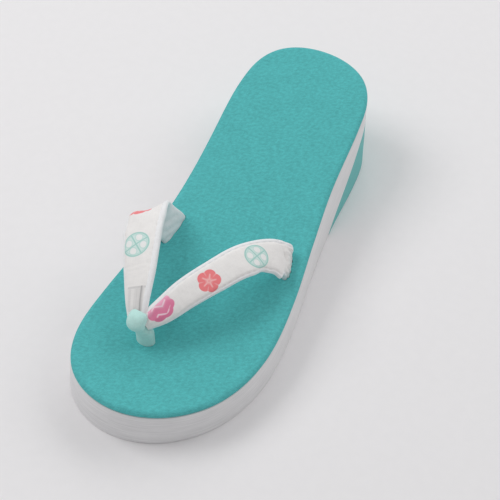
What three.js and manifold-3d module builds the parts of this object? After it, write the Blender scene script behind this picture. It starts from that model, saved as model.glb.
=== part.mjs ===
/*
 * A women's wedge zori, the one for the left foot.
 *
 * A foam platform on a heel wedge carries a cloth-covered footbed. Two padded
 * bands join in front under the loop of a toe post, rise over the foot and go
 * down into a slot near each edge of the footbed.
 *
 * Millimetres. +Y points to the toe, +Z up, and the outer (lateral) side is -X.
 * Everything is set out from the axis from the heel tip to the toe tip, with
 * y = 0 half way along it and the floor at z = 0. At the end the whole sandal is
 * shifted so that its origin is on the floor, under the middle of its box.
 */
import * as THREE from 'three';
import { mergeVertices } from 'three/addons/utils/BufferGeometryUtils.js';
import Module from 'manifold-3d';

const wasm = await Module();
wasm.setup();

// ---------- driving dimensions ----------
const SOLE_LENGTH = 240;
const CLEARANCE = 0.3;            // gap between pieces that touch
const COVER_THICKNESS = 3;        // padded board and cloth of the footbed
const COVER_EDGE_RADIUS = 1.6;    // roll of the cloth over the board's edge
const COVER_TURN_UNDER = 0.3;     // small bevel where the cloth turns under
const FLOOR_BEVEL = 0.8;          // small round where the wall meets the floor

const WEDGE_TIP_Y = -42;          // where the wedge starts, at the arch
const WEDGE_SLOPE = 0.62;         // rise of the wedge's top, until it follows the footbed
const HEEL_LAYER = 11;            // platform's thickness over the wedge at the heel
const WEDGE_BEND = 10;            // the more, the sharper the wedge's top bends there
const WEDGE_SET_BACK = 2;         // how far behind its tip the wedge is cut off blunt

const STRAP_BACK_FLATNESS = 0.55; // the backing is this much flatter than the face
const STRAP_SQUARENESS = 0.72;    // 1 is an ellipse, less is squarer at the edges
const SLOT_DEPTH = 9;             // how far a strap end reaches below the footbed

const SOLE_STATIONS = 44;
const STRAP_STATIONS = 26;
const STRAP_SIDES = 14;
const POST_SIDES = 16;
const POST_STEPS = 6;
const LOOP_TURNS = 18;
const LOOP_STEPS = 8;
const WEDGE_STEPS = 14;
const ROLL_STEPS = 3;
const WELD = 1e-4;                // points closer than this are one point
const HEADING_STEP = 0.01;        // share of a line over which its direction is taken

/*
 * The last, one row per cross-section from the heel tip (station 0) to the toe
 * tip (station 1). lateral and medial are the half breadths that the outline
 * would have there if it was the widest place of an ellipse, so the real ones
 * are these times the sine of the station's angle, which closes both ends
 * round. top is the height of the footbed over the floor, and flare is how much
 * further out the wall is at the floor than under the footbed.
 */
const LAST = [
  { station: 0.00, lateral: 73.6, medial: 75.4, top: 52.0, flare: 2.4 },
  { station: 0.06, lateral: 61.0, medial: 62.9, top: 50.4, flare: 2.4 },
  { station: 0.16, lateral: 48.1, medial: 48.2, top: 46.6, flare: 2.2 },
  { station: 0.30, lateral: 41.8, medial: 36.5, top: 40.4, flare: 1.5 },
  { station: 0.45, lateral: 44.2, medial: 31.9, top: 33.4, flare: 1.1 },
  { station: 0.60, lateral: 51.6, medial: 34.0, top: 27.4, flare: 1.1 },
  { station: 0.75, lateral: 61.0, medial: 42.6, top: 23.7, flare: 1.1 },
  { station: 0.88, lateral: 67.9, medial: 55.0, top: 23.0, flare: 1.0 },
  { station: 0.96, lateral: 70.1, medial: 64.2, top: 23.8, flare: 1.0 },
  { station: 1.00, lateral: 70.1, medial: 68.9, top: 24.5, flare: 1.0 },
];

/*
 * The straps, one row per cross-section from the toe post to the slot.
 * x and y place the middle of the band and rise is its height over the footbed.
 * edge is the compass angle, from +X towards +Y, that the band's front edge
 * points to, and dip is how far below level that edge hangs, in degrees.
 */
const LATERAL_STRAP = [
  { at: 0.00, x: 4.3, y: 78.2, rise: 14.4, width: 8.5, thick: 4.4, edge: 165, dip: 45 },
  { at: 0.12, x: -1.6, y: 70.6, rise: 18.2, width: 12.4, thick: 5.0, edge: 158, dip: 34 },
  { at: 0.28, x: -7.8, y: 58.6, rise: 21.8, width: 15.0, thick: 5.2, edge: 152, dip: 23 },
  { at: 0.45, x: -15.4, y: 44.9, rise: 23.2, width: 16.4, thick: 5.2, edge: 150, dip: 17 },
  { at: 0.62, x: -23.4, y: 29.6, rise: 21.7, width: 17.2, thick: 5.0, edge: 145, dip: 17 },
  { at: 0.78, x: -32.1, y: 16.3, rise: 14.6, width: 18.0, thick: 4.8, edge: 132, dip: 20 },
  { at: 0.90, x: -36.8, y: 8.6, rise: 5.4, width: 16.4, thick: 4.5, edge: 114, dip: 17 },
  { at: 1.00, x: -37.4, y: 7.4, rise: -SLOT_DEPTH, width: 16.0, thick: 4.2, edge: 110, dip: 8 },
];
const MEDIAL_STRAP = [
  { at: 0.00, x: 7.6, y: 79.0, rise: 14.7, width: 10.5, thick: 4.4, edge: 15, dip: 45 },
  { at: 0.12, x: 11.5, y: 71.5, rise: 19.5, width: 13.5, thick: 5.0, edge: 18, dip: 34 },
  { at: 0.28, x: 17.4, y: 58.9, rise: 23.1, width: 17.0, thick: 5.2, edge: 20, dip: 26 },
  { at: 0.45, x: 24.2, y: 45.1, rise: 23.9, width: 19.2, thick: 5.2, edge: 23, dip: 20 },
  { at: 0.60, x: 29.2, y: 33.3, rise: 22.4, width: 19.8, thick: 5.0, edge: 32, dip: 17 },
  { at: 0.72, x: 31.2, y: 24.9, rise: 18.1, width: 20.0, thick: 4.9, edge: 47, dip: 13 },
  { at: 0.83, x: 29.4, y: 18.8, rise: 11.0, width: 19.5, thick: 4.8, edge: 66, dip: 9 },
  { at: 0.92, x: 24.2, y: 14.8, rise: 2.5, width: 18.8, thick: 4.6, edge: 82, dip: 8 },
  { at: 1.00, x: 21.4, y: 13.2, rise: -SLOT_DEPTH, width: 18.0, thick: 4.5, edge: 90, dip: 8 },
];

/*
 * The toe post from its hole in the footbed up to the straps, and the loop that
 * goes round them where they join.
 */
const POST = [
  { at: 0.0, x: 3.5, y: 77.4, rise: -SLOT_DEPTH, width: 9.8, thick: 7.0 },
  { at: 0.5, x: 4.0, y: 77.6, rise: 4.0, width: 9.9, thick: 7.0 },
  { at: 1.0, x: 7.1, y: 79.2, rise: 13.0, width: 9.6, thick: 6.5 },
];
const LOOP_RADIUS = 6.2;          // outside of the loop, seen from the side
const LOOP_WIDTH = 10.2;          // across the sandal
const LOOP_BARREL = 0.55;         // under 1: the loop is square-shouldered like a barrel
const LOOP_RISE = 3;              // middle of the loop over the top of the stem

const FINISHES = {
  tealCloth: { color: 0x50abaa, roughness: 0.85 },
  whiteFoam: { color: 0xe4e5e6, roughness: 0.6 },
  tealFoam: { color: 0x50abaa, roughness: 0.6 },
  strapCloth: { color: 0xf0eeec, roughness: 0.8 },
  mintVelvet: { color: 0xaed6cf, roughness: 0.95 },
};

// ---------- helpers ----------

/** Value of a table's column at a place, on a smooth curve through its rows. */
function through(rows, key, column, place) {
  const last = rows.length - 1;
  let i = 0;
  while (i < last - 1 && place > rows[i + 1][key]) i += 1;
  const slope = (k) => (rows[k + 1][column] - rows[k][column]) / (rows[k + 1][key] - rows[k][key]);
  const run = (k) => rows[k + 1][key] - rows[k][key];
  const tangent = (k) => {
    if (k === 0) return slope(0);
    if (k === last) return slope(last - 1);
    return (slope(k - 1) * run(k) + slope(k) * run(k - 1)) / (run(k - 1) + run(k));
  };
  const h = run(i);
  const s = (place - rows[i][key]) / h;
  return (2 * s ** 3 - 3 * s ** 2 + 1) * rows[i][column] + (s ** 3 - 2 * s ** 2 + s) * h * tangent(i)
    + (3 * s ** 2 - 2 * s ** 3) * rows[i + 1][column] + (s ** 3 - s ** 2) * h * tangent(i + 1);
}

/** Solid of a closed three.js geometry. */
function solidOf(geometry) {
  geometry.deleteAttribute('normal');
  geometry.deleteAttribute('uv');
  const merged = mergeVertices(geometry, WELD);
  return new wasm.Manifold(new wasm.Mesh({
    numProp: 3,
    vertProperties: new Float32Array(merged.attributes.position.array),
    triVerts: new Uint32Array(merged.index.array),
  }));
}

/** Solid of a closed list of points and triangles. */
function solidFrom(points, triangles) {
  const geometry = new THREE.BufferGeometry();
  geometry.setAttribute('position', new THREE.Float32BufferAttribute(points.flat(), 3));
  geometry.setIndex(triangles.flat());
  return solidOf(geometry);
}

/** Named three.js mesh of a solid. */
function meshOf(name, solid, finish) {
  const { vertProperties, triVerts } = solid.getMesh();
  const geometry = new THREE.BufferGeometry();
  geometry.setAttribute('position', new THREE.BufferAttribute(new Float32Array(vertProperties), 3));
  geometry.setIndex(new THREE.BufferAttribute(new Uint32Array(triVerts), 1));
  geometry.computeVertexNormals();
  const mesh = new THREE.Mesh(geometry, new THREE.MeshStandardMaterial({ ...finish, metalness: 0 }));
  mesh.name = name;
  return mesh;
}

/** Solid through rings of equally many points, with a flat fan on each end. */
function loft(rings) {
  const sides = rings[0].length;
  const points = rings.flat();
  const triangles = [];
  for (let r = 0; r < rings.length - 1; r += 1) {
    for (let j = 0; j < sides; j += 1) {
      const next = (j + 1) % sides;
      const [a, b] = [r * sides + j, r * sides + next];
      triangles.push([a, b, b + sides], [a, b + sides, a + sides]);
    }
  }
  const end = (rings.length - 1) * sides;
  for (let j = 1; j < sides - 1; j += 1) {
    triangles.push([0, j + 1, j], [end, end + j, end + j + 1]);
  }
  return solidFrom(points, triangles);
}

// ---------- sole ----------

/** Height of the footbed over the floor. */
function footbedHeight(y) {
  const station = THREE.MathUtils.clamp(y / SOLE_LENGTH + 0.5, 0, 1);
  return through(LAST, 'station', 'top', station);
}

/**
 * The outline moved inwards by inset and outwards by a share of the flare: heel
 * tip, medial side, toe tip and back along the lateral side, so that points k
 * and 2 * SOLE_STATIONS - k face each other.
 */
function outline(inset, flareShare) {
  const count = 2 * SOLE_STATIONS;
  const ring = [];
  for (let k = 0; k < count; k += 1) {
    const angle = (Math.PI * k) / SOLE_STATIONS;
    const station = (1 - Math.cos(angle)) / 2;
    const side = k < SOLE_STATIONS ? 'medial' : 'lateral';
    const x = Math.sin(angle) * through(LAST, 'station', side, station);
    ring.push({ station, place: new THREE.Vector2(x, SOLE_LENGTH * (station - 0.5)) });
  }
  return ring.map(({ station, place }, k) => {
    const [before, after] = [ring[(k + count - 1) % count].place, ring[(k + 1) % count].place];
    const along = after.clone().sub(before).normalize();
    const inwards = inset - flareShare * through(LAST, 'station', 'flare', station);
    return place.clone().add(new THREE.Vector2(-along.y, along.x).multiplyScalar(inwards));
  });
}

/** Solid with the outline of the sole; levels run from its underside up. */
function slab(levels) {
  const count = 2 * SOLE_STATIONS;
  const points = [];
  levels.forEach(({ inset, flareShare = 0, height }) => {
    outline(inset, flareShare).forEach((p) => points.push([p.x, p.y, height(p.y)]));
  });
  const triangles = [];
  for (let level = 0; level < levels.length - 1; level += 1) {
    for (let k = 0; k < count; k += 1) {
      const [a, b] = [level * count + k, level * count + ((k + 1) % count)];
      triangles.push([a, b, b + count], [a, b + count, a + count]);
    }
  }
  const top = (levels.length - 1) * count;
  for (let k = 0; k < SOLE_STATIONS; k += 1) {
    const [a, b] = [k, k + 1];
    const [c, d] = [count - k - 1, (count - k) % count];
    if (a !== d) {
      triangles.push([a, d, b], [top + a, top + b, top + d]);
    }
    if (b !== c) {
      triangles.push([b, d, c], [top + b, top + c, top + d]);
    }
  }
  return solidFrom(points, triangles);
}

/** Sole block under the cover, platform and wedge in one. */
function soleBlock() {
  return slab([
    { inset: FLOOR_BEVEL, flareShare: 1, height: () => 0 },
    { inset: 0, flareShare: 1, height: () => FLOOR_BEVEL },
    { inset: 0, height: (y) => footbedHeight(y) - COVER_THICKNESS - CLEARANCE },
  ]);
}

/** Cover with its edge rolled over in a quarter round. */
function coverBlock() {
  const levels = [
    { inset: COVER_TURN_UNDER, height: (y) => footbedHeight(y) - COVER_THICKNESS },
    { inset: 0, height: (y) => footbedHeight(y) - COVER_THICKNESS + COVER_TURN_UNDER },
  ];
  for (let i = 0; i <= ROLL_STEPS; i += 1) {
    const angle = (Math.PI / 2) * (i / ROLL_STEPS);
    const inset = COVER_EDGE_RADIUS * (1 - Math.cos(angle));
    const below = COVER_EDGE_RADIUS * (1 - Math.sin(angle));
    levels.push({ inset, height: (y) => footbedHeight(y) - below });
  }
  return slab(levels);
}

/** Height of the joint between wedge and platform: a ramp that ends level with the footbed. */
function wedgeLine(y) {
  const ramp = WEDGE_SLOPE * Math.max(0, WEDGE_TIP_Y - y);
  const level = footbedHeight(y) - COVER_THICKNESS - CLEARANCE - HEEL_LAYER;
  return ramp / (1 + (ramp / level) ** WEDGE_BEND) ** (1 / WEDGE_BEND);
}

/** Everything below the wedge line lowered by drop, behind the given y. */
function belowWedgeLine(drop, frontY) {
  const heelTip = -SOLE_LENGTH / 2;
  const reach = SOLE_LENGTH;
  const profile = new THREE.Shape();
  profile.moveTo(frontY, -reach);
  for (let i = 0; i <= WEDGE_STEPS; i += 1) {
    const y = THREE.MathUtils.lerp(frontY, heelTip, i / WEDGE_STEPS);
    profile.lineTo(y, wedgeLine(y) - drop);
  }
  profile.lineTo(-reach, wedgeLine(heelTip) - drop);
  profile.lineTo(-reach, -reach);
  const prism = new THREE.ExtrudeGeometry(profile, { depth: reach, bevelEnabled: false });
  // the profile's x is the sandal's y, its y is up, and it is extruded across
  prism.applyMatrix4(new THREE.Matrix4().set(
    0, 0, 1, -reach / 2,
    1, 0, 0, 0,
    0, 1, 0, 0,
    0, 0, 0, 1,
  ));
  return solidOf(prism);
}

// ---------- straps and toe post ----------

/** Rounded section of a band, its face up and its backing flatter. */
function bandSection(width, thick) {
  const face = thick / (1 + STRAP_BACK_FLATNESS);
  const back = thick - face;
  const section = [];
  for (let j = 0; j < STRAP_SIDES; j += 1) {
    const angle = (2 * Math.PI * j) / STRAP_SIDES;
    const [c, s] = [Math.cos(angle), Math.sin(angle)];
    const across = (width / 2) * Math.sign(c) * Math.abs(c) ** STRAP_SQUARENESS;
    const out = (s > 0 ? face : back) * Math.sign(s) * Math.abs(s) ** STRAP_SQUARENESS;
    section.push([across, out]);
  }
  return section;
}

/** Middle line of a table with columns at, x, y and rise. */
function middle(rows, at) {
  const y = through(rows, 'at', 'y', at);
  const z = footbedHeight(y) + through(rows, 'at', 'rise', at);
  return new THREE.Vector3(through(rows, 'at', 'x', at), y, z);
}

/** Direction of that line. */
function heading(rows, at) {
  const [from, to] = [Math.max(0, at - HEADING_STEP), Math.min(1, at + HEADING_STEP)];
  return middle(rows, to).sub(middle(rows, from)).normalize();
}

/** One strap, grown by a margin all round. */
function band(rows, grow) {
  const lateral = rows === LATERAL_STRAP;
  const rings = [];
  for (let i = 0; i <= STRAP_STATIONS; i += 1) {
    const at = i / STRAP_STATIONS;
    const forward = heading(rows, at);
    const edge = THREE.MathUtils.degToRad(through(rows, 'at', 'edge', at));
    const dip = THREE.MathUtils.degToRad(through(rows, 'at', 'dip', at));
    const across = new THREE.Vector3(
      Math.cos(edge) * Math.cos(dip), Math.sin(edge) * Math.cos(dip), -Math.sin(dip),
    );
    across.addScaledVector(forward, -across.dot(forward)).normalize();
    const out = new THREE.Vector3().crossVectors(across, forward);
    if (!lateral) out.negate();
    const centre = middle(rows, at);
    if (i === 0) centre.addScaledVector(forward, -grow);
    if (i === STRAP_STATIONS) centre.addScaledVector(forward, grow);
    const width = through(rows, 'at', 'width', at) + 2 * grow;
    const thick = through(rows, 'at', 'thick', at) + 2 * grow;
    const ring = bandSection(width, thick).map(([a, o]) => centre.clone()
      .addScaledVector(across, a).addScaledVector(out, o).toArray());
    rings.push(lateral ? ring.reverse() : ring);
  }
  return loft(rings);
}

function straps(grow) {
  return band(LATERAL_STRAP, grow).add(band(MEDIAL_STRAP, grow));
}

/** The post, an upright padded stem of oval section, grown by a margin. */
function stem(grow) {
  const rings = [];
  for (let i = 0; i <= POST_STEPS; i += 1) {
    const at = i / POST_STEPS;
    const centre = middle(POST, at);
    const halfWidth = through(POST, 'at', 'width', at) / 2 + grow;
    const halfThick = through(POST, 'at', 'thick', at) / 2 + grow;
    const ring = [];
    for (let j = 0; j < POST_SIDES; j += 1) {
      const angle = (2 * Math.PI * j) / POST_SIDES;
      const end = i === 0 ? -grow : 0;
      ring.push([
        centre.x + halfWidth * Math.cos(angle), centre.y + halfThick * Math.sin(angle), centre.z + end,
      ]);
    }
    rings.push(ring);
  }
  return loft(rings);
}

/** The loop, a barrel lying across the sandal, filled round the straps that it holds. */
function loop() {
  const centre = middle(POST, 1);
  const profile = [];
  for (let i = 0; i <= LOOP_STEPS; i += 1) {
    const angle = Math.PI * (i / LOOP_STEPS - 0.5);
    const radius = LOOP_RADIUS * Math.cos(angle) ** LOOP_BARREL;
    profile.push(new THREE.Vector2(i % LOOP_STEPS ? radius : 0, (LOOP_WIDTH / 2) * Math.sin(angle)));
  }
  const barrel = new THREE.LatheGeometry(profile, LOOP_TURNS);
  barrel.rotateZ(Math.PI / 2);
  barrel.translate(centre.x, centre.y, centre.z + LOOP_RISE);
  return solidOf(barrel);
}

// ---------- assembly ----------

const sole = soleBlock();
const upper = straps(0);
const upperRoom = straps(CLEARANCE);
const stemRoom = stem(CLEARANCE);
const post = stem(0).add(loop()).subtract(upperRoom);

const cover = coverBlock().subtract(upperRoom).subtract(stemRoom);
const platform = sole.subtract(belowWedgeLine(0, WEDGE_TIP_Y)).subtract(upperRoom).subtract(stemRoom);
const wedge = sole.intersect(belowWedgeLine(CLEARANCE, WEDGE_TIP_Y - WEDGE_SET_BACK));

const sandal = new THREE.Group();
sandal.add(
  meshOf('footbed_cover', cover, FINISHES.tealCloth),
  meshOf('platform', platform, FINISHES.whiteFoam),
  meshOf('heel_wedge', wedge, FINISHES.tealFoam),
  meshOf('straps', upper, FINISHES.strapCloth),
  meshOf('toe_post', post, FINISHES.mintVelvet),
);

const box = new THREE.Box3().setFromObject(sandal);
sandal.position.set(-(box.min.x + box.max.x) / 2, -(box.min.y + box.max.y) / 2, -box.min.z);

export default sandal;
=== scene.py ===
"""Zori sandal for the left foot: its looks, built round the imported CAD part.

Blender's units are metres: +Y towards the toe, +Z up, -X the outer side of the
foot. The tables and mesh code below are in millimetres in the last's own frame,
whose Y axis runs through both tips of the sole; Shell.mesh() carries them over.
The tables of the sole and the straps have the same rows as the CAD part's, and
the post's has one row more.
"""

import math

import bmesh
import bpy
import numpy as np
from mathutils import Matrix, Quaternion, Vector


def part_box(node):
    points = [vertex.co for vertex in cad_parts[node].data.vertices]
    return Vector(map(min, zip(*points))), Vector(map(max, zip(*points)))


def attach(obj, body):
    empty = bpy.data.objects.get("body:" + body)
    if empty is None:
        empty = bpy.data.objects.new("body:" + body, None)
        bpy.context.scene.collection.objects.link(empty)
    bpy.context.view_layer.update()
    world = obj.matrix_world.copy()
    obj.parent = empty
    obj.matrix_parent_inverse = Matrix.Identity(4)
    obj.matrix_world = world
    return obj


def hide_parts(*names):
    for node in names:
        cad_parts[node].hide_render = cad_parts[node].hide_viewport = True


MM = 0.001

# ---------- driving dimensions, in mm ----------
SOLE_LENGTH = 240
CLEARANCE = 0.3           # gap between pieces that touch
COVER_THICKNESS = 3       # padded board and cloth of the footbed
COVER_TURN_UNDER = 0.8    # round where the cloth turns under the board
COVER_ROLL_WIDTH = 2.8    # how far in from the edge the cloth rolls over the board
FLOOR_BEVEL = 0.8         # round where the wall meets the floor
FOAM_EDGE = 0.35          # round of the other foam edges

WEDGE_TIP_Y = -42         # where the wedge starts, at the arch
WEDGE_SLOPE = 0.62        # rise of the wedge's top, until it follows the footbed
HEEL_LAYER = 11           # platform's thickness over the wedge at the heel
WEDGE_BEND = 10           # the more, the sharper the wedge's top bends there
WEDGE_SET_BACK = 2        # how far behind its tip the wedge is cut off blunt

STRAP_BACK_FLATNESS = 0.55  # thickness of the back half as a share of the face half's
STRAP_SQUARENESS = 0.72   # under 1: a section is fuller at its corners than an oval
SLOT_DEPTH = 9            # how deep in the sole the straps and the post end
REAR_SEAM = -0.75         # place of the seams across a strap, from -1 at its
FRONT_SEAM = 0.86         # rear edge to 1 at its front edge
SEAM_DEPTH = 0.5
SEAM_WIDTH = 0.42
SEAM_DEPTH_AT_POST = 0.3  # share of its depth that a seam keeps at the post
PUCKER = 0.25             # share by which a seam's depth comes and goes
PUCKER_LENGTH = 3.7       # from one pucker to the next
SWAY = 0.12               # slow unevenness of the padding
SWAY_LENGTHS = (19, 31)
GATHER = 0.45             # depth of the pleats where a strap goes into its slot
GATHER_PLEATS = 5.6       # the more, the closer the pleats are across the strap
GATHER_PHASE = 0.9
PINCH = 0.2               # depth of the pleats where a strap comes out of the loop
PINCH_PLEATS = 2.6
CREASE_SIDE = 0.4         # share of the thickness over which a crease starts at a side

# Along a strap, from 0 at the post to 1 in its slot: where the seams reach their
# full depth, where the gathers come in and where the pinch has gone.
SEAM_DEEPENS = (0.08, 0.4)
GATHER_BEGINS = (0.855, 0.9)
PINCH_ENDS = (0.02, 0.2)

LOOP_RADIUS = 5.8         # outside of the loop, seen from the side
LOOP_WIDTH = 9.7          # across the sandal
LOOP_BARREL = 0.55        # under 1: the loop is square-shouldered like a barrel
LOOP_RISE = 2.6           # middle of the loop over the top of the stem
POST_GAP = 0.05           # between the post and its hole, before its padding is smoothed
POST_HOLE_TOP = 5         # how far over the footbed the hole's cutter reaches
PADDING_GRAIN = 0.3       # size of the faces that the post's padding is shaped with
PADDING_ROUNDS = 14       # passes of smoothing over them

SLOT_DIMPLE = 0.7         # how far the cloth is drawn down at a slot or hole
SLOT_DIMPLE_REACH = 4.5   # and how far off that has mostly gone

# How finely the meshes are divided and cleaned.
SOLE_STATIONS = 220
WALL_LEVELS = 14
EDGE_STEPS = 3
UNDER_STEPS = 4
ROLL_STEPS = 8
TOP_COLUMNS = 84
FOAM_TOP_COLUMNS = 21
UNDERSIDE_COLUMNS = 4
STRAP_STATIONS = 220
STRAP_SIDES = 76
STEM_STATIONS = 24
STEM_SIDES = 48
HOLE_STATIONS = 12
LOOP_STATIONS = 31
LOOP_SIDES = 64
WELD = 0.003              # points closer than this are one point
NUDGE = 0.01              # step over which a direction is taken
SHARP_ANGLE = 38          # edges sharper than this, in degrees, aren't smoothed


class Table:
    """A table with named columns, read on a smooth curve through its rows."""

    def __init__(self, columns, rows):
        names = columns.split()
        self.columns = {n: np.array(v, float) for n, v in zip(names, zip(*rows))}
        self.places = self.columns[names[0]]

    def __call__(self, column, place):
        x, y = self.places, self.columns[column]
        run = np.diff(x)
        slope = np.diff(y) / run
        tangent = np.concatenate([
            slope[:1],
            (slope[:-1] * run[:-1] + slope[1:] * run[1:]) / (run[:-1] + run[1:]),
            slope[-1:],
        ])
        i = np.clip(np.searchsorted(x, place) - 1, 0, len(x) - 2)
        h = run[i]
        s = (place - x[i]) / h
        return ((2 * s**3 - 3 * s**2 + 1) * y[i] + (s**3 - 2 * s**2 + s) * h * tangent[i]
                + (3 * s**2 - 2 * s**3) * y[i + 1] + (s**3 - s**2) * h * tangent[i + 1])


# One row per cross-section from the heel tip to the toe tip. The half breadths
# are those before the outline's sine is applied, which rounds both tips.
LAST = Table("station lateral medial top flare", [
    (0.00, 73.6, 75.4, 52.0, 2.4),
    (0.06, 61.0, 62.9, 50.4, 2.4),
    (0.16, 48.1, 48.2, 46.6, 2.2),
    (0.30, 41.8, 36.5, 40.4, 1.5),
    (0.45, 44.2, 31.9, 33.4, 1.1),
    (0.60, 51.6, 34.0, 27.4, 1.1),
    (0.75, 61.0, 42.6, 23.7, 1.1),
    (0.88, 67.9, 55.0, 23.0, 1.0),
    (0.96, 70.1, 64.2, 23.8, 1.0),
    (1.00, 70.1, 68.9, 24.5, 1.0),
])

# One row per cross-section of a strap from the toe post to the slot: its middle,
# rise over the footbed, size, and which way its front edge points and dips.
STRAP_COLUMNS = "at x y rise width thick edge dip"
LATERAL_STRAP = Table(STRAP_COLUMNS, [
    (0.00, 4.3, 78.2, 14.4, 8.5, 4.4, 165, 45),
    (0.12, -1.6, 70.6, 18.2, 12.4, 5.0, 158, 34),
    (0.28, -7.8, 58.6, 21.8, 15.0, 5.2, 152, 23),
    (0.45, -15.4, 44.9, 23.2, 16.4, 5.2, 150, 17),
    (0.62, -23.4, 29.6, 21.7, 17.2, 5.0, 145, 17),
    (0.78, -32.1, 16.3, 14.6, 18.0, 4.8, 132, 20),
    (0.90, -36.8, 8.6, 5.4, 16.4, 4.5, 114, 17),
    (1.00, -37.4, 7.4, -SLOT_DEPTH, 16.0, 4.2, 110, 8),
])
MEDIAL_STRAP = Table(STRAP_COLUMNS, [
    (0.00, 7.6, 79.0, 14.7, 10.5, 4.4, 15, 45),
    (0.12, 11.5, 71.5, 19.5, 13.5, 5.0, 18, 34),
    (0.28, 17.4, 58.9, 23.1, 17.0, 5.2, 20, 26),
    (0.45, 24.2, 45.1, 23.9, 19.2, 5.2, 23, 20),
    (0.60, 29.2, 33.3, 22.4, 19.8, 5.0, 32, 17),
    (0.72, 31.2, 24.9, 18.1, 20.0, 4.9, 47, 13),
    (0.83, 29.4, 18.8, 11.0, 19.5, 4.8, 66, 9),
    (0.92, 24.2, 14.8, 2.5, 18.8, 4.6, 82, 8),
    (1.00, 21.4, 13.2, -SLOT_DEPTH, 18.0, 4.5, 90, 8),
])
POST = Table("at x y rise width thick", [
    (0.0, 3.5, 77.4, -SLOT_DEPTH, 9.8, 7.0),
    (0.5, 4.0, 77.6, 4.0, 9.9, 7.0),
    (0.8, 4.9, 78.2, 9.5, 10.6, 7.0),
    (1.0, 7.1, 79.2, 13.0, 9.6, 6.5),
])

# Folds in a strap's edges: where along it, how far out in mm, how long, and at
# which edge, 1 for the front and -1 for the rear one.
LATERAL_FOLDS = [(0.70, -1.2, 0.035, 1), (0.81, 2.9, 0.028, 1), (0.885, 1.0, 0.035, 1)]
MEDIAL_FOLDS = [(0.53, 0.5, 0.025, 1), (0.70, 1.2, 0.05, 1),
                (0.89, -0.8, 0.03, -1), (0.95, 0.8, 0.02, -1)]

# Creases (height below 0) and ridges: side, 1 for the face and -1 for the
# backing, then from where to where in mm, along the strap from the post and
# across it towards its front edge, then height and width in mm.
LATERAL_CREASES = [
    (1, 80.6, -7.2, 83.2, 0.5, -1.2, 1.0),
    (1, 83.2, 0.5, 87.5, 7.5, -0.8, 1.0),
    (1, 87.0, -7.8, 87.8, -6.8, 1.9, 1.7),
    (1, 70.0, 7.5, 73.0, 3.0, -0.25, 0.8),
    (1, 12.5, 5.5, 20.0, 3.5, -0.15, 0.8),
]
MEDIAL_CREASES = [
    (1, 57.0, 3.0, 60.0, 6.0, 1.5, 4.0),
    (1, 24.5, -6.0, 24.0, 5.0, -0.12, 0.7),
    (1, 27.0, -5.0, 26.3, 6.0, -0.1, 0.7),
    (-1, 74.5, 2.5, 79.5, -5.5, -0.35, 0.9),
    (-1, 78.5, 5.0, 85.0, -6.5, -0.35, 0.9),
    (-1, 82.5, 6.5, 87.0, -1.0, -0.3, 0.9),
]


# ---------- meshes ----------

def smoothstep(lo, hi, x):
    t = np.clip((np.asarray(x, float) - lo) / (hi - lo), 0, 1)
    return t * t * (3 - 2 * t)


def unit(v):
    return v / np.linalg.norm(v, axis=-1, keepdims=True)


def signed_power(x, exponent):
    return np.sign(x) * np.abs(x) ** exponent


def run_along(points):
    """Distance of each point from the first one along the line through them."""
    return np.concatenate([[0], np.cumsum(np.linalg.norm(np.diff(points, axis=0), axis=-1))])


def between(a, b, count):
    """Points on the chords from a[i] to b[i], as rows of count + 1."""
    share = np.linspace(0, 1, count + 1)[None, :, None]
    return a[:, None] * (1 - share) + b[:, None] * share


class Shell:
    """The points, faces and cloth coordinates of a mesh while it is made."""

    def __init__(self):
        self.points, self.faces, self.cloth, self.slots = [], [], [], []

    def grid(self, points, cloth, slots=None, closed=False):
        """Faces over points[i, j]. A closed grid's cloth has one column more."""
        rows, columns = points.shape[:2]
        start = len(self.points)
        self.points.extend(points.reshape(-1, 3).tolist())
        for i in range(rows - 1):
            for j in range(columns if closed else columns - 1):
                k = (j + 1) % columns
                self.faces.append([start + i * columns + j, start + i * columns + k,
                                   start + (i + 1) * columns + k, start + (i + 1) * columns + j])
                self.cloth.append([cloth[i, j], cloth[i, j + 1],
                                   cloth[i + 1, j + 1], cloth[i + 1, j]])
                self.slots.append(0 if slots is None else slots[j])
        return start

    def cap(self, start, count):
        """A fan that closes the ring of count points from start on."""
        centre = len(self.points)
        self.points.append(np.mean(self.points[start:start + count], axis=0).tolist())
        for j in range(count):
            self.faces.append([start + j, start + (j + 1) % count, centre])
            self.cloth.append([(0, 0)] * 3)
            self.slots.append(0)

    def mesh(self, name, *materials):
        """The mesh object in the row frame, with points that meet made one."""
        data = bpy.data.meshes.new(name)
        points = (np.array(self.points) + MIDDLE) * MM
        data.from_pydata(points.tolist(), [], self.faces)
        layer = data.uv_layers.new(name="cloth_mm")
        corners = np.array([c for face in self.cloth for c in face], np.float32)
        layer.data.foreach_set("uv", corners.ravel())
        for material in materials:
            data.materials.append(material)
        data.polygons.foreach_set("material_index", self.slots)
        clean(data)
        obj = bpy.data.objects.new(name, data)
        bpy.context.scene.collection.objects.link(obj)
        return obj


def clean(data, corners=4):
    """Makes points that meet one, splits the faces with more than this many
    corners into triangles, and drops faces without an area."""
    work = bmesh.new()
    work.from_mesh(data)
    bmesh.ops.remove_doubles(work, verts=work.verts, dist=WELD * MM)
    bmesh.ops.triangulate(work, faces=[f for f in work.faces if len(f.verts) > corners])
    bmesh.ops.dissolve_degenerate(work, edges=work.edges, dist=WELD * MM)
    bmesh.ops.recalc_face_normals(work, faces=work.faces)
    work.to_mesh(data)
    work.free()


def bake(obj):
    """Makes the outcome of obj's modifiers its own mesh."""
    graph = bpy.context.evaluated_depsgraph_get()
    data = bpy.data.meshes.new_from_object(obj.evaluated_get(graph), depsgraph=graph)
    obj.modifiers.clear()
    obj.data = data


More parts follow.
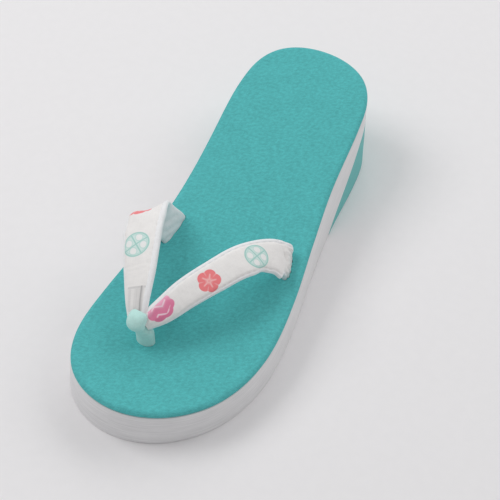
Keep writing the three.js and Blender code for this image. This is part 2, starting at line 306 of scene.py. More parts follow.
def cut(obj, *tools):
    """Cuts the tools' shapes out of obj."""
    for tool in tools:
        modifier = obj.modifiers.new("cut", "BOOLEAN")
        modifier.operation, modifier.solver, modifier.object = "DIFFERENCE", "EXACT", tool
    bake(obj)
    clean(obj.data, corners=3)


def smooth(obj):
    obj.data.shade_smooth()
    obj.data.set_sharp_from_angle(angle=math.radians(SHARP_ANGLE))


# ---------- sole ----------

def footbed_height(y):
    """Height of the cloth that the foot stands on."""
    return LAST("top", np.clip(np.asarray(y, float) / SOLE_LENGTH + 0.5, 0, 1))


def under_cover(y):
    """Height of the platform's top."""
    return footbed_height(y) - COVER_THICKNESS - CLEARANCE


def wedge_line(y):
    """Height of the joint between the wedge and the platform."""
    ramp = WEDGE_SLOPE * np.clip(WEDGE_TIP_Y - y, 0, None)
    level = under_cover(y) - HEEL_LAYER
    return ramp / (1 + (ramp / level) ** WEDGE_BEND) ** (1 / WEDGE_BEND)


def outline(angle, inset=0, flare_share=0):
    """Outline in plan: angle 0 is the heel tip, pi the toe tip, and the outer
    side has negative angles. inset moves it inwards and flare outwards."""
    def edge(a):
        station = (1 - np.cos(a)) / 2
        breadth = np.where(np.sin(a) > 0, LAST("medial", station), LAST("lateral", station))
        return np.stack([np.sin(a) * breadth, SOLE_LENGTH * (station - 0.5)], -1)

    along = unit(edge(angle + NUDGE) - edge(angle - NUDGE))
    outwards = np.stack([along[..., 1], -along[..., 0]], -1)
    flare = flare_share * LAST("flare", (1 - np.cos(angle)) / 2)
    return edge(angle) + outwards * np.expand_dims(flare - inset, -1)


def slab(name, levels, columns, material, reach=math.pi, rolled=False, dimple=None):
    """A closed piece with the sole's outline, from the heel tip to the angle reach.

    levels run from the underside up. Each gives (inset, flare share, height)
    over the angles of the wall. Cloth coordinates run along and up the wall, or,
    for a rolled one, lie as on the flat cloth before it is turned down.
    """
    half = np.linspace(0, reach, round(SOLE_STATIONS * reach / math.pi) + 1)
    ring = np.concatenate([-half[:0:-1], half])
    wall = []
    for inset, flare_share, height in (level(ring) for level in levels):
        plan = outline(ring, inset, flare_share)
        wall.append(np.concatenate([plan, height[:, None]], 1))
    wall = np.array(wall)
    steps = np.linalg.norm(np.diff(wall, axis=0), axis=-1)
    down = np.concatenate([np.cumsum(steps[::-1], axis=0)[::-1], np.zeros((1, len(ring)))])
    if rolled:
        top_inset = levels[-1](ring)[0]
        cloth = np.array([outline(ring, top_inset - d) for d in down])
    else:
        cloth = np.stack([np.broadcast_to(run_along(wall[0]), down.shape), -down], -1)
    shell = Shell()
    shell.grid(wall, cloth)
    # The front of a piece that ends short of the toe meets its underside's points.
    under_columns = columns if reach < math.pi else UNDERSIDE_COLUMNS
    for level, across in ((-1, columns), (0, under_columns)):
        left, right = wall[level][len(half) - 1::-1], wall[level][len(half) - 1:]
        fill = between(left, right, across)
        if level == -1 and dimple is not None:
            fill[:, 1:-1, 2] -= dimple(fill[:, 1:-1, 0], fill[:, 1:-1, 1])
        shell.grid(fill, fill[..., :2])
    if reach < math.pi:
        front = between(wall[:, 0], wall[:, -1], columns)
        shell.grid(front, front[..., [0, 2]])
    return shell.mesh(name, material)


def foam_levels(span):
    """Levels of a foam wall: round at the foot, upright, and round at the top.

    span gives, over y, the heights of the wall's foot and top and its two rounds.
    """
    def level(share_up, turn_low, turn_high):
        def at(ring):
            y = outline(ring)[:, 1]
            bottom, top, low, high = span(y)
            inset = low * (1 - math.sin(turn_low)) + high * (1 - math.sin(turn_high))
            height = (bottom + low) * (1 - share_up) + (top - high) * share_up
            height = height - low * math.cos(turn_low) + high * math.cos(turn_high)
            return inset, 1 - height / under_cover(y), height
        return at

    upright = math.pi / 2
    turns = [upright * i / EDGE_STEPS for i in range(EDGE_STEPS)]
    return ([level(0, turn, upright) for turn in turns]
            + [level(i / WALL_LEVELS, upright, upright) for i in range(WALL_LEVELS + 1)]
            + [level(1, upright, turn) for turn in turns[::-1]])


def platform_span(y):
    """Wall of the platform: from the floor, or from the wedge, up to the cover."""
    bottom = wedge_line(y)
    low = FLOOR_BEVEL + (FOAM_EDGE - FLOOR_BEVEL) * smoothstep(0, 1, bottom)
    return bottom, under_cover(y), low, FOAM_EDGE


def wedge_span(y):
    """Wall of the wedge: from the floor up to its joint with the platform."""
    top = wedge_line(y) - CLEARANCE
    return 0, top, np.minimum(FLOOR_BEVEL, top / 3), np.minimum(FOAM_EDGE, top / 3)


def cover_levels():
    """Edge of the cover: turned under the board, then rolled over it."""
    def level(inset, below_top):
        return lambda ring: (inset, 0, footbed_height(outline(ring)[:, 1]) - below_top)

    widest = COVER_THICKNESS - COVER_TURN_UNDER
    under = [(COVER_TURN_UNDER * (1 - math.sin(turn)), widest + COVER_TURN_UNDER * math.cos(turn))
             for turn in np.linspace(0, math.pi / 2, UNDER_STEPS + 1)]
    over = [(COVER_ROLL_WIDTH * (1 - math.cos(turn)), widest * (1 - math.sin(turn)))
            for turn in np.linspace(0, math.pi / 2, ROLL_STEPS + 1)]
    return [level(inset, below) for inset, below in under + over[1:]]


def dimples(x, y):
    """How far the cloth is drawn down round the strap slots and the post's hole."""
    def dimple(gap):
        return SLOT_DIMPLE * np.exp(-(gap / SLOT_DIMPLE_REACH) ** 2)

    from_post = np.hypot(x - POST("x", 0), y - POST("y", 0)) - POST("thick", 0) / 2
    drawn = dimple(np.maximum(from_post, 0))
    for rows in (LATERAL_STRAP, MEDIAL_STRAP):
        half_width, half_thick = rows("width", 1) / 2, rows("thick", 1) / 2
        centre = np.array([rows("x", 1), rows("y", 1)])
        edge = math.radians(rows("edge", 1))
        across = np.array([math.cos(edge), math.sin(edge)])
        along = (x - centre[0]) * across[0] + (y - centre[1]) * across[1]
        aside = (y - centre[1]) * across[0] - (x - centre[0]) * across[1]
        gap = np.hypot(np.maximum(np.abs(along) - half_width, 0),
                       np.maximum(np.abs(aside) - half_thick, 0))
        drawn += dimple(gap)
    return drawn


# ---------- straps and toe post ----------

def middle(rows, at):
    """Middle line of a table with columns at, x, y and rise."""
    y = rows("y", at)
    return np.stack([rows("x", at), y, footbed_height(y) + rows("rise", at)], -1)


def strap_course(rows, at, grow):
    """Middle line of a strap, its directions towards the front edge and out of
    the face, and the distance along it."""
    centre = middle(rows, at)
    before, after = np.clip(at - NUDGE, 0, 1), np.clip(at + NUDGE, 0, 1)
    ahead = unit(middle(rows, after) - middle(rows, before))
    edge, dip = np.radians(rows("edge", at)), np.radians(rows("dip", at))
    level = np.cos(dip)
    across = np.stack([np.cos(edge) * level, np.sin(edge) * level, -np.sin(dip)], -1)
    across = unit(across - ahead * np.sum(across * ahead, -1, keepdims=True))
    outwards = np.cross(across, ahead) * (1 if rows is LATERAL_STRAP else -1)
    u = run_along(centre)[:, None]
    centre[0] -= ahead[0] * grow
    centre[-1] += ahead[-1] * grow
    return centre, across, outwards, u


def strap_section(rows, at, u, turn, folds, creases, grow):
    """Each cross-section of a strap: mm towards the front edge and mm outwards."""
    place = signed_power(np.cos(turn), STRAP_SQUARENESS)[None, :]
    lift = signed_power(np.sin(turn), STRAP_SQUARENESS)[None, :]
    half = rows("width", at)[:, None] / 2 + grow
    thick = rows("thick", at)[:, None] + 2 * grow
    face = thick / (1 + STRAP_BACK_FLATNESS)

    aside = place * half
    for where, height, size, side in folds:
        bulge = height * np.exp(-((at[:, None] - where) / size) ** 2)
        aside = aside + side * bulge * smoothstep(0, 1, side * place)

    out = np.where(lift > 0, face, thick - face) * lift
    deepening = smoothstep(*SEAM_DEEPENS, at)[:, None]
    depth = SEAM_DEPTH * (SEAM_DEPTH_AT_POST + (1 - SEAM_DEPTH_AT_POST) * deepening)
    for seam in (FRONT_SEAM, REAR_SEAM):
        pucker = 1 + PUCKER * np.sin(2 * math.pi * u / PUCKER_LENGTH + seam)
        dent = np.exp(-((place - seam) * half / SEAM_WIDTH) ** 2)
        out = out - (lift > 0) * depth * pucker * dent
    short, long = SWAY_LENGTHS
    sway = np.sin(2 * math.pi * u / short) * np.sin(2 * math.pi * (u / long + place / 3))
    out = out + SWAY * sway * (1 - place**2)
    for side, along0, across0, along1, across1, height, size in creases:
        run = np.array([along1 - along0, across1 - across0])
        share = ((u - along0) * run[0] + (aside - across0) * run[1]) / (run @ run)
        share = np.clip(share, 0, 1)
        gap = np.hypot(u - along0 - share * run[0], aside - across0 - share * run[1])
        on_side = smoothstep(0, CREASE_SIDE, side * lift)
        out = out + side * on_side * height * np.exp(-(gap / size) ** 2)
    near_slot = smoothstep(*GATHER_BEGINS, at)[:, None]
    near_post = 1 - smoothstep(*PINCH_ENDS, at)[:, None]
    pleats = (GATHER * near_slot * np.sin(GATHER_PLEATS * math.pi * place + GATHER_PHASE)
              + PINCH * near_post * np.sin(PINCH_PLEATS * math.pi * place))
    return aside, out + (lift > 0) * pleats * np.clip(1 - place**4, 0, 1)


def strap(name, rows, folds, creases, materials, grow=0.0):
    """One padded strap: face cloth between two seams, backing round the rest."""
    at = np.linspace(0, 1, STRAP_STATIONS)
    centre, across, outwards, u = strap_course(rows, at, grow)
    seams = [math.acos(signed_power(seam, 1 / STRAP_SQUARENESS))
             for seam in (FRONT_SEAM, REAR_SEAM)]
    turn = np.linspace(-math.pi / 2, 3 * math.pi / 2, STRAP_SIDES, endpoint=False)
    turn = np.unique(np.concatenate([turn, seams]))
    aside, out = strap_section(rows, at, u, turn, folds, creases, grow)
    points = (centre[:, None] + across[:, None] * aside[..., None]
              + outwards[:, None] * out[..., None])

    aside_step, out_step = (np.diff(w, axis=1, append=w[:, :1]) for w in (aside, out))
    girth = np.cumsum(np.hypot(aside_step, out_step), axis=1)
    girth = np.concatenate([np.zeros((len(at), 1)), girth], 1)
    top = np.argmin(np.abs(turn - math.pi / 2))
    v = girth[:, top:top + 1] - girth
    cloth = np.stack([np.broadcast_to(u, v.shape), v], -1)
    on_face = (turn >= seams[0]) & (turn < seams[1])
    shell = Shell()
    start = shell.grid(points, cloth, slots=np.where(on_face, 0, 1).tolist(), closed=True)
    shell.cap(start, len(turn))
    shell.cap(start + (len(at) - 1) * len(turn), len(turn))
    return shell.mesh(name, *materials)


def stem_rings(rises, grow=0.0):
    """Oval sections of the post's stem at these rises over the footbed."""
    at = np.interp(rises, POST.columns["rise"], POST.places)
    turn = np.linspace(0, 2 * math.pi, STEM_SIDES, endpoint=False)
    x = (POST("width", at)[:, None] / 2 + grow) * np.cos(turn)
    y = (POST("thick", at)[:, None] / 2 + grow) * np.sin(turn)
    return middle(POST, at)[:, None] + np.stack([x, y, np.zeros_like(x)], -1)


def closed_shell(rings):
    """A shell through rings of points with both its ends closed."""
    shell = Shell()
    rows, columns = rings.shape[:2]
    start = shell.grid(rings, np.zeros((rows, columns + 1, 2)), closed=True)
    shell.cap(start, columns)
    shell.cap(start + (rows - 1) * columns, columns)
    return shell


def toe_post(name, material):
    """A padded stem and the loop on it, in one velvet cover without a step."""
    rises = np.linspace(-SLOT_DEPTH, POST.columns["rise"][-1], STEM_STATIONS)
    stem = closed_shell(stem_rings(rises)).mesh(name, material)
    centre = middle(POST, 1) + np.array([0, 0, LOOP_RISE])
    lean = np.linspace(-math.pi / 2, math.pi / 2, LOOP_STATIONS + 2)[1:-1, None]
    turn = np.linspace(0, 2 * math.pi, LOOP_SIDES, endpoint=False)
    reach = LOOP_RADIUS * np.cos(lean) ** LOOP_BARREL
    aside = np.broadcast_to(LOOP_WIDTH / 2 * np.sin(lean), (LOOP_STATIONS, LOOP_SIDES))
    barrel = np.stack([aside, reach * np.cos(turn), reach * np.sin(turn)], -1)
    loop = closed_shell(centre + barrel).mesh("loop")
    join = stem.modifiers.new("join", "BOOLEAN")
    join.operation, join.solver, join.object = "UNION", "EXACT", loop
    pad = stem.modifiers.new("pad", "REMESH")
    pad.mode, pad.voxel_size = "VOXEL", PADDING_GRAIN * MM
    stem.modifiers.new("soften", "SMOOTH").iterations = PADDING_ROUNDS
    bake(stem)
    bpy.data.objects.remove(loop)
    return stem


def post_room(name):
    """The hole in the footbed that the post comes out of."""
    rises = np.linspace(-SLOT_DEPTH - CLEARANCE, POST_HOLE_TOP, HOLE_STATIONS)
    return closed_shell(stem_rings(rises, POST_GAP)).mesh(name)


# ---------- materials ----------

class Shader:
    """A material under way, with short names for the nodes that it is made of."""

    def __init__(self, name):
        self.material = bpy.data.materials.new(name)
        self.material.use_nodes = True
        self.nodes = self.material.node_tree.nodes
        self.links = self.material.node_tree.links
        self.surface = self.nodes["Principled BSDF"]

    def set(self, socket, value):
        if isinstance(value, bpy.types.NodeSocket):
            self.links.new(value, socket)
        else:
            socket.default_value = value

    def cloth(self, scale=(1, 1), turn=0, centre=(0, 0)):
        """Cloth coordinates in mm, moved, turned in degrees and scaled."""
        uv = self.nodes.new("ShaderNodeUVMap")
        uv.uv_map = "cloth_mm"
        mapping = self.nodes.new("ShaderNodeMapping")
        mapping.vector_type = "TEXTURE"
        self.links.new(uv.outputs["UV"], mapping.inputs["Vector"])
        mapping.inputs["Location"].default_value = (*centre, 0)
        mapping.inputs["Rotation"].default_value = (0, 0, math.radians(turn))
        mapping.inputs["Scale"].default_value = (*scale, 1)
        return mapping.outputs["Vector"]

    def math(self, operation, a, b=0.0, c=0.0):
        node = self.nodes.new("ShaderNodeMath")
        node.operation = operation
        for socket, value in zip(node.inputs, (a, b, c)):
            self.set(socket, value)
        return node.outputs[0]

    def split(self, vector):
        node = self.nodes.new("ShaderNodeSeparateXYZ")
        self.links.new(vector, node.inputs[0])
        return node.outputs["X"], node.outputs["Y"]

    def join(self, x, y, z=0.0):
        node = self.nodes.new("ShaderNodeCombineXYZ")
        for socket, value in zip(node.inputs, (x, y, z)):
            self.set(socket, value)
        return node.outputs[0]

    def noise(self, vector, scale=1.0, detail=3.0, roughness=0.5):
        node = self.nodes.new("ShaderNodeTexNoise")
        self.links.new(vector, node.inputs["Vector"])
        node.inputs["Scale"].default_value = scale
        node.inputs["Detail"].default_value = detail
        node.inputs["Roughness"].default_value = roughness
        return node.outputs["Fac"]

    def ramp(self, value, lo, hi, low=0.0, high=1.0):
        """value from lo..hi to low..high, clamped, with a smooth course."""
        node = self.nodes.new("ShaderNodeMapRange")
        node.interpolation_type = "SMOOTHSTEP"
        self.set(node.inputs["Value"], value)
        for key, number in (("From Min", lo), ("From Max", hi), ("To Min", low), ("To Max", high)):
            self.set(node.inputs[key], number)
        return node.outputs["Result"]

    def mix(self, share, a, b):
        node = self.nodes.new("ShaderNodeMix")
        node.data_type = "RGBA"
        self.set(node.inputs["Factor"], share)
        self.set(node.inputs["A"], a)
        self.set(node.inputs["B"], b)
        return node.outputs["Result"]

    def shade(self, colour, factor):
        """colour made lighter or darker by a factor."""
        node = self.nodes.new("ShaderNodeMix")
        node.data_type, node.blend_type = "RGBA", "MULTIPLY"
        node.inputs["Factor"].default_value = 1
        self.set(node.inputs["A"], colour)
        self.set(node.inputs["B"], self.join(factor, factor, factor))
        return node.outputs["Result"]

    def relief(self, *layers):
        """Bump from layers of (height, depth in mm)."""
        normal = None
        for height, depth in layers:
            node = self.nodes.new("ShaderNodeBump")
            node.inputs["Distance"].default_value = depth * MM
            self.links.new(height, node.inputs["Height"])
            if normal is not None:
                self.links.new(normal, node.inputs["Normal"])
            normal = node.outputs["Normal"]
        self.links.new(normal, self.surface.inputs["Normal"])

    def finish(self, colour, roughness, **sockets):
        self.set(self.surface.inputs["Base Color"], colour)
        self.set(self.surface.inputs["Roughness"], roughness)
        for name, value in sockets.items():
            self.set(self.surface.inputs[name.replace("_", " ")], value)
        return self.material


def srgb(red, green, blue):
    """Linear colour of 8-bit screen values."""
    def linear(v):
        v /= 255
        return v / 12.92 if v <= 0.04045 else ((v + 0.055) / 1.055) ** 2.4
    return (linear(red), linear(green), linear(blue), 1)


def weave(shader, pitch):
    """Plain weave of threads pitch mm apart: its height and each thread's tint."""
    u, v = shader.split(shader.cloth(scale=(pitch, pitch)))
    m = shader.math
    column, row = m("FLOOR", u), m("FLOOR", v)
    in_column = m("SUBTRACT", m("SUBTRACT", u, column), 0.5)
    in_row = m("SUBTRACT", m("SUBTRACT", v, row), 0.5)
    over = m("SUBTRACT", m("MULTIPLY", m("PINGPONG", m("ADD", column, row), 1.0), 2.0), 1.0)
    swell_u, swell_v = [m("COSINE", m("MULTIPLY", part, math.pi)) for part in (in_column, in_row)]

    def thread(swell, crossing, side):
        """Height of a thread, up over the crossing ones where side * over is 1."""
        rise = m("MULTIPLY_ADD", m("MULTIPLY", over, crossing), side * 0.45, 0.55)
        return m("MULTIPLY", m("POWER", swell, 0.6), rise)

    warp, weft = thread(swell_u, swell_v, 1), thread(swell_v, swell_u, -1)
    warp_place = shader.join(m("MULTIPLY", column, 7.31), m("MULTIPLY", v, 0.07))
    weft_place = shader.join(m("MULTIPLY", u, 0.07), m("MULTIPLY", row, 5.17), 3.0)
    on_top = m("GREATER_THAN", warp, weft)
    tint = m("ADD", m("MULTIPLY", on_top, shader.noise(warp_place, detail=1)),
             m("MULTIPLY", m("SUBTRACT", 1.0, on_top), shader.noise(weft_place, detail=1)))
    return m("MAXIMUM", warp, weft), tint


def teal_canvas():
    s = Shader("teal_canvas")
    height, tint = weave(s, 0.62)
    grain = s.noise(s.cloth(scale=(2.0, 1.1), turn=35), scale=0.9, detail=4, roughness=0.7)
    mottle = s.noise(s.cloth(), scale=0.09, detail=4, roughness=0.6)
    light = s.math("ADD", s.ramp(tint, 0.25, 0.75, 0.95, 1.03),
                   s.ramp(mottle, 0.3, 0.7, -0.03, 0.03))
    light = s.math("ADD", light, s.ramp(grain, 0.3, 0.7, -0.12, 0.12))
    # painted shade: the low places of the weave, between and under the crossing threads, are
    # darkened
    light = s.math("MULTIPLY", light, s.ramp(height, 0.15, 0.8, 0.86, 1.03))
    colour = s.shade(srgb(90, 188, 189), light)
    s.relief((height, 0.1), (grain, 0.12), (mottle, 0.2))
    return s.finish(colour, s.ramp(height, 0, 1, 0.95, 0.85), Specular_IOR_Level=0.2)


def white_foam():
    s = Shader("white_foam")
    lines = s.noise(s.cloth(scale=(30, 0.7)), detail=4, roughness=0.65)
    fine = s.noise(s.cloth(), scale=1.6, detail=3)
    stain = s.noise(s.cloth(scale=(14, 6)), detail=2)
    light = s.math("ADD", s.ramp(lines, 0.3, 0.7, 0.9, 1.03),
                   s.ramp(stain, 0.3, 0.7, -0.02, 0.02))
    colour = s.shade(srgb(232, 231, 232), light)
    s.relief((lines, 0.12), (fine, 0.04))
    return s.finish(colour, s.ramp(fine, 0.3, 0.7, 0.5, 0.62), Specular_IOR_Level=0.35)


def teal_foam():
    s = Shader("teal_foam")
    lines = s.noise(s.cloth(scale=(30, 0.7)), detail=3, roughness=0.6)
    fine = s.noise(s.cloth(), scale=1.9, detail=4, roughness=0.6)
    colour = s.shade(srgb(113, 190, 188), s.ramp(lines, 0.3, 0.7, 0.93, 1.04))
    s.relief((lines, 0.1), (fine, 0.06))
    return s.finish(colour, s.ramp(fine, 0.3, 0.7, 0.6, 0.74), Specular_IOR_Level=0.3)


def plain_cloth(name, colour, pitch, sheen):
    """Fine smooth cloth under way: its shader, its colour and its finish."""
    s = Shader(name)
    height, tint = weave(s, pitch)
    soft = s.noise(s.cloth(), scale=0.22, detail=3)
    light = s.math("MULTIPLY", s.ramp(tint, 0.25, 0.75, 0.965, 1.02),
                   s.ramp(soft, 0.3, 0.7, 0.975, 1.01))
    s.relief((height, 0.05), (soft, 0.35))
    finish = {"Sheen_Weight": sheen, "Sheen_Roughness": 0.4, "Specular_IOR_Level": 0.2}
    return s, s.shade(colour, light), finish


def backing_cloth():
    s, colour, finish = plain_cloth("backing_cloth", srgb(242, 242, 243), 0.5, 0.1)
    return s.finish(colour, 0.85, **finish)


def velvet():
    s = Shader("mint_velvet")
    place = s.nodes.new("ShaderNodeTexCoord").outputs["Object"]
    pile = s.noise(place, scale=2600, detail=4, roughness=0.7)
    brushed = s.noise(place, scale=320, detail=3)
    light = s.math("MULTIPLY", s.ramp(pile, 0.3, 0.7, 0.95, 1.03),
                   s.ramp(brushed, 0.3, 0.7, 0.95, 1.03))
    colour = s.shade(srgb(198, 238, 232), light)
    s.relief((pile, 0.1), (brushed, 0.3))
    return s.finish(colour, 0.95, Sheen_Weight=0.35, Sheen_Roughness=0.4, Specular_IOR_Level=0.1)


# The prints. Each is drawn over x and y in units of its half size.
CORAL, PALE_CORAL = srgb(245, 134, 138), srgb(252, 200, 198)
MAGENTA, PINK, PALE_PINK = srgb(232, 130, 166), srgb(250, 188, 212), srgb(251, 216, 228)
MINT_LINE, MINT_FILL = srgb(170, 214, 206), srgb(216, 234, 230)
GREY, DARK_GREY = srgb(184, 184, 185), srgb(150, 149, 150)
WHITE = srgb(244, 242, 241)


def radius(m, x, y):
    return m("SQRT", m("ADD", m("MULTIPLY", x, x), m("MULTIPLY", y, y)))


def line(s, distance, half_width):
    """1 on a line, falling softly to 0 beside it."""
    return s.ramp(s.math("ABSOLUTE", distance), half_width * 0.5, half_width * 1.5, 1, 0)


def blossom(s, x, y, colour):
    """A plum blossom of five round petals."""
    m = s.math
    fifth = 2 * math.pi / 5
    r = radius(m, x, y)
    shifted = m("ADD", m("ARCTAN2", y, x), fifth / 2)
    folded = m("SUBTRACT", m("WRAP", shifted, fifth, 0.0), fifth / 2)
    along, aside = m("MULTIPLY", r, m("COSINE", folded)), m("MULTIPLY", r, m("SINE", folded))
    from_petal = radius(m, m("SUBTRACT", along, 0.46), aside)
    petals = m("MAXIMUM", s.ramp(from_petal, 0.49, 0.54, 1, 0), s.ramp(r, 0.6, 0.7, 1, 0))
    vein_span = m("MULTIPLY", s.ramp(r, 0.14, 0.2), s.ramp(r, 0.5, 0.68, 1, 0))
    veins = m("MULTIPLY", line(s, aside, 0.06), vein_span)
    heart = m("MAXIMUM", m("MAXIMUM", line(s, m("SUBTRACT", r, 0.14), 0.05), veins),
              m("MULTIPLY", s.ramp(r, 0.16, 0.4, 1, 0), 0.6))
    from_gap = m("SUBTRACT", m("ABSOLUTE", folded), fifth / 2)
    gaps = m("MULTIPLY", line(s, from_gap, 0.07), s.ramp(r, 0.35, 0.6))
    pale = m("MAXIMUM", m("MULTIPLY", heart, 0.8), m("MULTIPLY", gaps, 0.45))
    return s.mix(petals, colour, s.mix(pale, CORAL, PALE_CORAL))


def roundel(s, x, y, colour):
    """A thin ring quartered by two crossing lines, with a white oval in each quarter."""
    m = s.math
    r = radius(m, x, y)
    inside = s.ramp(r, 0.88, 0.94, 1, 0)
    rings = m("MAXIMUM", line(s, m("SUBTRACT", r, 0.93), 0.055),
              m("MULTIPLY", line(s, m("SUBTRACT", r, 0.8), 0.025), 0.6))
    aside, along = m("ABSOLUTE", x), m("ABSOLUTE", y)
    oval = radius(m, m("SUBTRACT", aside, 0.38),
                  m("MULTIPLY", m("SUBTRACT", along, 0.42), 1.2))
    white = m("MULTIPLY", s.ramp(oval, 0.24, 0.32, 1, 0), 0.85)
    crossing = line(s, m("MINIMUM", aside, along), 0.05)
    filled = s.mix(inside, colour, MINT_FILL)
    filled = s.mix(m("MULTIPLY", inside, white), filled, WHITE)
    oval_edge = m("MULTIPLY", line(s, m("SUBTRACT", oval, 0.32), 0.04), 0.35)
    lines = m("MULTIPLY", inside, m("MAXIMUM", crossing, oval_edge))
    return s.mix(m("MAXIMUM", rings, lines), filled, MINT_LINE)


def folded_paper(s, x, y, colour):
    """A bunch of folded paper with lobed ends and two pale zigzags along it."""
    m = s.math
    wave = m("SUBTRACT", m("MULTIPLY", m("PINGPONG", m("ADD", x, 2.1), 0.45), 0.6), 0.13)
    skewed = m("SUBTRACT", y, wave)
    flat = m("MULTIPLY", y, 1.25)
    turned = m("SINE", m("MULTIPLY_ADD", m("ARCTAN2", flat, x), 3.5, 0.6))
    lobes = m("MULTIPLY_ADD", m("ABSOLUTE", turned), 0.1, 0.86)
    r = m("DIVIDE", radius(m, x, flat), lobes)
    bunch = s.ramp(r, 0.94, 1.0, 1, 0)
    inked = s.mix(s.ramp(skewed, -0.7, 0.4, 1, 0), MAGENTA, PINK)
    inked = s.mix(m("MULTIPLY", line(s, m("SUBTRACT", skewed, 0.08), 0.12), 0.5), inked, MAGENTA)
    zigzags = m("MAXIMUM", *[line(s, m("SUBTRACT", skewed, place), 0.055)
                             for place in (-0.2, 0.36)])
    zigzags = m("MULTIPLY", zigzags, s.ramp(r, 0.62, 0.72, 1, 0))
    return s.mix(bunch, colour, s.mix(zigzags, inked, PALE_PINK))


def striped_block(s, x, y, colour):
    """A block of soft grey stripes of uneven strength under a bar."""
    m = s.math
    block = m("MULTIPLY", s.ramp(m("ABSOLUTE", y), 0.9, 0.98, 1, 0),
              s.ramp(m("ABSOLUTE", x), 0.94, 0.98, 1, 0))
    stripes = s.ramp(m("SINE", m("MULTIPLY", y, 11.0)), -0.5, 0.6, 0.3, 1)
    heavy = s.ramp(m("ABSOLUTE", m("ADD", y, 0.22)), 0.08, 0.34, 1, 0.3)
    bar = m("MULTIPLY", line(s, m("SUBTRACT", x, 0.88), 0.1), 0.45)
    strength = m("MULTIPLY", block, m("MAXIMUM", m("MULTIPLY", stripes, heavy), bar))
    return s.mix(m("MULTIPLY", strength, 0.85), colour, s.mix(heavy, GREY, DARK_GREY))


# Where the prints are: what, then in mm the distance from the post, the distance
# from the strap's middle towards its front edge and the half size, and the turn
# in degrees.
LATERAL_PRINTS = [
    (folded_paper, 10.4, -1.8, 7.8, 0),
    (blossom, 36.6, 1.4, 6.0, 20),
    (roundel, 64.4, 0.3, 6.4, 65),
]
MEDIAL_PRINTS = [
    (striped_block, 9.9, -1.5, 6.1, 0),
    (roundel, 38.4, 1.7, 7.1, 30),
    (blossom, 62.6, 4.0, 6.6, 50),
    (roundel, 88.0, -1.0, 6.2, 55),
]


def printed_cloth(name, prints):
    s, colour, finish = plain_cloth(name, srgb(243, 240, 238), 0.34, 0.15)
    for draw, along, across, half_size, turn in prints:
        x, y = s.split(s.cloth(scale=(half_size, half_size), turn=turn, centre=(along, across)))
        colour = draw(s, x, y, colour)
    return s.finish(colour, 0.8, **finish)


# ---------- the sandal ----------

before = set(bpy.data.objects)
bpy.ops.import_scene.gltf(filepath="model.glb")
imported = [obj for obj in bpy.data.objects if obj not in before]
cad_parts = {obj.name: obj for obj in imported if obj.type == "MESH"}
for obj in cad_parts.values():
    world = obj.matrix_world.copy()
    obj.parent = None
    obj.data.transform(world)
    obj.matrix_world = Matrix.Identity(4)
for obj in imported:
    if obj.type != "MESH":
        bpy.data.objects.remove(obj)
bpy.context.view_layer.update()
lo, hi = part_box("footbed_cover")
edge_x = outline(np.linspace(-math.pi, math.pi, 2 * SOLE_STATIONS))[:, 0]
MIDDLE = np.array([(lo.x + hi.x) / 2 / MM - (edge_x.min() + edge_x.max()) / 2,
                   (lo.y + hi.y) / 2 / MM, 0])

cover = slab("footbed_cloth", cover_levels(), TOP_COLUMNS, teal_canvas(),
             rolled=True, dimple=dimples)
platform = slab("platform_foam", foam_levels(platform_span), FOAM_TOP_COLUMNS, white_foam())
wedge_reach = math.acos(-2 * (WEDGE_TIP_Y - WEDGE_SET_BACK) / SOLE_LENGTH)
wedge = slab("heel_wedge_foam", foam_levels(wedge_span), FOAM_TOP_COLUMNS, teal_foam(),
             reach=wedge_reach)

backing = backing_cloth()
upper, rooms = [], [post_room("post_room")]
for name, rows, folds, creases, prints in (
        ("lateral_strap", LATERAL_STRAP, LATERAL_FOLDS, LATERAL_CREASES, LATERAL_PRINTS),
        ("medial_strap", MEDIAL_STRAP, MEDIAL_FOLDS, MEDIAL_CREASES, MEDIAL_PRINTS)):
    materials = [printed_cloth(name + "_print", prints), backing]
    upper.append(strap(name, rows, folds, creases, materials))
    rooms.append(strap(name + "_room", rows, folds, creases, [], grow=CLEARANCE))
post = toe_post("toe_post_loop", velvet())

cut(cover, *rooms)
cut(platform, *rooms)
cut(post, *rooms[1:])
for room in rooms:
    bpy.data.objects.remove(room)

for piece, node, slot in (
        (cover, "footbed_cover", "teal_cloth"),
        (platform, "platform", "white_foam"),
        (wedge, "heel_wedge", "teal_foam"),
        (upper[0], "straps", "strap_cloth"),
        (upper[1], "straps", "strap_cloth"),
        (post, "toe_post", "mint_velvet")):
    smooth(piece)
    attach(piece, "root")
    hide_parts(node)


# ---------- floor, light and camera ----------

CAMERA_PLACE = (-0.2050, 0.4597, 0.6455)   # before the toe, high and to the outer side
CAMERA_AIM = (-0.0064, 0.0, 0.018)
CAMERA_ROLL = 4.8         # in degrees
CAMERA_LENS = 112

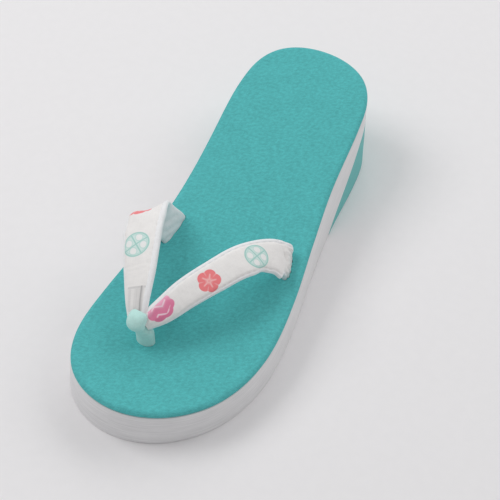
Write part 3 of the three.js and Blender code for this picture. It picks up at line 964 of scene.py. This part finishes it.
FLOOR_SIZE = 8            # in metres
STUDIO_COLOUR = (0.98, 0.99, 1.0, 1)
STUDIO_STRENGTH = 0.46

# Large soft lamps: direction they stand in, height over the floor in degrees,
# distance and size in metres, and power in watts.
LAMPS = [
    ("key", (0.96, 0.20), 52, 1.5, 0.75, 7.2),
    ("fill", (-0.60, -0.80), 42, 1.8, 1.2, 7.3),
    ("back", (0.30, -0.95), 42, 1.6, 0.8, 2.9),
]


def floor():
    s = Shader("floor_paper")
    place = s.nodes.new("ShaderNodeTexCoord").outputs["Object"]
    grain = s.noise(place, scale=180, detail=2)
    colour = s.shade(srgb(239, 237, 238), s.ramp(grain, 0.3, 0.7, 0.99, 1.0))
    material = s.finish(colour, 0.7, Specular_IOR_Level=0.2)
    bpy.ops.mesh.primitive_plane_add(size=FLOOR_SIZE)
    plane = bpy.context.object
    plane.name = "floor"
    plane.data.materials.append(material)


def lights():
    world = bpy.data.worlds.new("studio")
    bpy.context.scene.world = world
    world.use_nodes = True
    background = world.node_tree.nodes["Background"]
    background.inputs["Color"].default_value = STUDIO_COLOUR
    background.inputs["Strength"].default_value = STUDIO_STRENGTH
    for name, (x, y), height, distance, size, power in LAMPS:
        lamp = bpy.data.lights.new(name, "AREA")
        lamp.energy, lamp.size = power, size
        obj = bpy.data.objects.new(name, lamp)
        bpy.context.scene.collection.objects.link(obj)
        level = math.cos(math.radians(height)) / math.hypot(x, y)
        towards = Vector((x * level, y * level, math.sin(math.radians(height))))
        obj.location = towards * distance
        obj.rotation_euler = towards.to_track_quat("Z", "Y").to_euler()


def camera():
    data = bpy.data.cameras.new("camera")
    data.lens = CAMERA_LENS
    obj = bpy.data.objects.new("camera", data)
    bpy.context.scene.collection.objects.link(obj)
    obj.location = CAMERA_PLACE
    look = (Vector(CAMERA_AIM) - Vector(CAMERA_PLACE)).to_track_quat("-Z", "Y")
    obj.rotation_mode = "QUATERNION"
    obj.rotation_quaternion = look @ Quaternion((0, 0, 1), math.radians(CAMERA_ROLL))
    bpy.context.scene.camera = obj


floor()
lights()
camera()
bpy.context.scene.view_settings.view_transform = "Standard"
